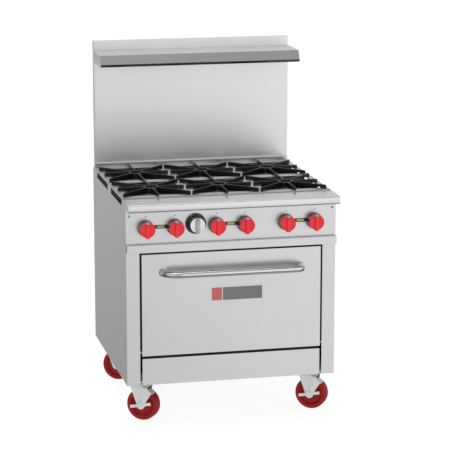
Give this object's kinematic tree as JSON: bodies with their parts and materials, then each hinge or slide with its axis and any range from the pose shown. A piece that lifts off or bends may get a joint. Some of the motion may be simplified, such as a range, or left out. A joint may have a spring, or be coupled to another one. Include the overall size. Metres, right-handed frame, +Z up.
{
  "type": "commercial gas range",
  "caption": "Free-standing open-burner gas range on swivel casters, with an oven, a drip tray, a riser and a high shelf.",
  "frame": {"origin": "on the floor, below the centre of the bounding box", "axes": "+Z up, +X to the right of a cook facing the front, +Y towards the back"},
  "size_m": [0.914, 0.932, 1.561],
  "materials": {
    "stainless": "satin brushed",
    "zinc_plated": "satin zinc plated",
    "enamel": "porcelain enamel",
    "cast_iron": "matte",
    "aluminised": "matte",
    "rack_chrome": "polished",
    "brass": "satin",
    "black_dial": "gloss",
    "knob_red": "gloss",
    "knob_white": "gloss",
    "wheel_red": "satin polyurethane"
  },
  "bodies": {
    "root": {"side_panel_left": "stainless", "side_panel_right": "stainless", "back_panel": "stainless", "kick_panel": "stainless", "control_panel": "stainless", "front_ledge": "stainless", "burner_frame": "stainless", "rear_rail": "stainless", "backsplash": "stainless", "high_shelf": "stainless", "base_pan": "aluminised", "oven_burner": "aluminised", "oven_thermostat": "aluminised", "tray_guide_left": "aluminised", "tray_guide_right": "aluminised", "oven_liner": "enamel", "oven_deck": "enamel", "gas_manifold": "brass", "thermostat_bezel": "black_dial", "burner_1": "cast_iron", "burner_2": "cast_iron", "burner_3": "cast_iron", "burner_4": "cast_iron", "burner_5": "cast_iron", "burner_6": "cast_iron", "door_hinge_pin_left": "zinc_plated", "door_hinge_pin_right": "zinc_plated", "caster_plate_front_left": "zinc_plated", "caster_plate_front_right": "zinc_plated", "caster_plate_rear_left": "zinc_plated", "caster_plate_rear_right": "zinc_plated"},
    "drip_tray": {"drip_tray": "stainless"},
    "oven_rack": {"oven_rack": "rack_chrome"},
    "oven_door": {"door_shell": "stainless", "door_liner": "enamel", "door_handle": "stainless"},
    "thermostat_knob": {"thermostat_knob": "knob_white"},
    "burner_knob_1": {"burner_knob_1": "knob_red"},
    "grate_1": {"grate_1": "cast_iron"},
    "burner_knob_2": {"burner_knob_2": "knob_red"},
    "grate_2": {"grate_2": "cast_iron"},
    "burner_knob_3": {"burner_knob_3": "knob_red"},
    "grate_3": {"grate_3": "cast_iron"},
    "burner_knob_4": {"burner_knob_4": "knob_red"},
    "grate_4": {"grate_4": "cast_iron"},
    "burner_knob_5": {"burner_knob_5": "knob_red"},
    "grate_5": {"grate_5": "cast_iron"},
    "burner_knob_6": {"burner_knob_6": "knob_red"},
    "grate_6": {"grate_6": "cast_iron"},
    "caster_fork_front_left": {"caster_fork_front_left": "zinc_plated"},
    "caster_wheel_front_left": {"caster_wheel_front_left": "wheel_red"},
    "caster_fork_front_right": {"caster_fork_front_right": "zinc_plated"},
    "caster_wheel_front_right": {"caster_wheel_front_right": "wheel_red"},
    "caster_fork_rear_left": {"caster_fork_rear_left": "zinc_plated"},
    "caster_wheel_rear_left": {"caster_wheel_rear_left": "wheel_red"},
    "caster_fork_rear_right": {"caster_fork_rear_right": "zinc_plated"},
    "caster_wheel_rear_right": {"caster_wheel_rear_right": "wheel_red"},
    "brake_lever_front_left": {"brake_lever_front_left": "zinc_plated"},
    "brake_lever_front_right": {"brake_lever_front_right": "zinc_plated"}
  },
  "joints": [
    {"name": "door_drop", "type": "hinge", "parent": "root", "child": "oven_door", "pos_m": [0, -0.374, 0.322], "axis": [1, 0, 0], "range_deg": [0, 90], "stiffness_Nm_per_rad": 8, "springref_deg": -20.05},
    {"name": "tray_slide", "type": "slide", "parent": "root", "child": "drip_tray", "axis": [0, -1, 0], "range_m": [0, 0.5]},
    {"name": "rack_slide", "type": "slide", "parent": "root", "child": "oven_rack", "axis": [0, -1, 0], "range_m": [0, 0.08]},
    {"name": "burner_knob_1_turn", "type": "hinge", "parent": "root", "child": "burner_knob_1", "pos_m": [-0.3705, -0.389, 0.866], "axis": [0, -1, 0], "range_deg": [0, 90]},
    {"name": "burner_knob_2_turn", "type": "hinge", "parent": "root", "child": "burner_knob_2", "pos_m": [-0.2455, -0.389, 0.866], "axis": [0, -1, 0], "range_deg": [0, 90]},
    {"name": "burner_knob_3_turn", "type": "hinge", "parent": "root", "child": "burner_knob_3", "pos_m": [-0.0665, -0.389, 0.866], "axis": [0, -1, 0], "range_deg": [0, 90]},
    {"name": "burner_knob_4_turn", "type": "hinge", "parent": "root", "child": "burner_knob_4", "pos_m": [0.0585, -0.389, 0.866], "axis": [0, -1, 0], "range_deg": [0, 90]},
    {"name": "burner_knob_5_turn", "type": "hinge", "parent": "root", "child": "burner_knob_5", "pos_m": [0.2375, -0.389, 0.866], "axis": [0, -1, 0], "range_deg": [0, 90]},
    {"name": "burner_knob_6_turn", "type": "hinge", "parent": "root", "child": "burner_knob_6", "pos_m": [0.3625, -0.389, 0.866], "axis": [0, -1, 0], "range_deg": [0, 90]},
    {"name": "thermostat_turn", "type": "hinge", "parent": "root", "child": "thermostat_knob", "pos_m": [-0.157, -0.389, 0.878], "axis": [0, -1, 0], "range_deg": [0, 270]},
    {"name": "grate_1_lift", "type": "slide", "parent": "root", "child": "grate_1", "axis": [0, 0, 1], "range_m": [0, 0.1]},
    {"name": "grate_2_lift", "type": "slide", "parent": "root", "child": "grate_2", "axis": [0, 0, 1], "range_m": [0, 0.1]},
    {"name": "grate_3_lift", "type": "slide", "parent": "root", "child": "grate_3", "axis": [0, 0, 1], "range_m": [0, 0.1]},
    {"name": "grate_4_lift", "type": "slide", "parent": "root", "child": "grate_4", "axis": [0, 0, 1], "range_m": [0, 0.1]},
    {"name": "grate_5_lift", "type": "slide", "parent": "root", "child": "grate_5", "axis": [0, 0, 1], "range_m": [0, 0.1]},
    {"name": "grate_6_lift", "type": "slide", "parent": "root", "child": "grate_6", "axis": [0, 0, 1], "range_m": [0, 0.1]},
    {"name": "front_left_swivel", "type": "hinge", "parent": "root", "child": "caster_fork_front_left", "pos_m": [-0.377, -0.2835, 0.16], "axis": [0, 0, 1], "continuous": true},
    {"name": "front_left_roll", "type": "hinge", "parent": "caster_fork_front_left", "child": "caster_wheel_front_left", "pos_m": [-0.36861, -0.28895, 0.07013], "axis": [0.5446, 0.8387, 0], "continuous": true},
    {"name": "front_left_brake", "type": "hinge", "parent": "caster_fork_front_left", "child": "brake_lever_front_left", "pos_m": [-0.36861, -0.28895, 0.07013], "axis": [0.5446, 0.8387, 0], "range_deg": [0, 15]},
    {"name": "front_right_swivel", "type": "hinge", "parent": "root", "child": "caster_fork_front_right", "pos_m": [0.377, -0.2835, 0.16], "axis": [0, 0, 1], "continuous": true},
    {"name": "front_right_roll", "type": "hinge", "parent": "caster_fork_front_right", "child": "caster_wheel_front_right", "pos_m": [0.38539, -0.28895, 0.07013], "axis": [0.5446, 0.8387, 0], "continuous": true},
    {"name": "front_right_brake", "type": "hinge", "parent": "caster_fork_front_right", "child": "brake_lever_front_right", "pos_m": [0.38539, -0.28895, 0.07013], "axis": [0.5446, 0.8387, 0], "range_deg": [0, 15]},
    {"name": "rear_left_swivel", "type": "hinge", "parent": "root", "child": "caster_fork_rear_left", "pos_m": [-0.377, 0.3465, 0.16], "axis": [0, 0, 1], "continuous": true},
    {"name": "rear_left_roll", "type": "hinge", "parent": "caster_fork_rear_left", "child": "caster_wheel_rear_left", "pos_m": [-0.36861, 0.34105, 0.07013], "axis": [0.5446, 0.8387, 0], "continuous": true},
    {"name": "rear_right_swivel", "type": "hinge", "parent": "root", "child": "caster_fork_rear_right", "pos_m": [0.377, 0.3465, 0.16], "axis": [0, 0, 1], "continuous": true},
    {"name": "rear_right_roll", "type": "hinge", "parent": "caster_fork_rear_right", "child": "caster_wheel_rear_right", "pos_m": [0.38539, 0.34105, 0.07013], "axis": [0.5446, 0.8387, 0], "continuous": true}
  ]
}
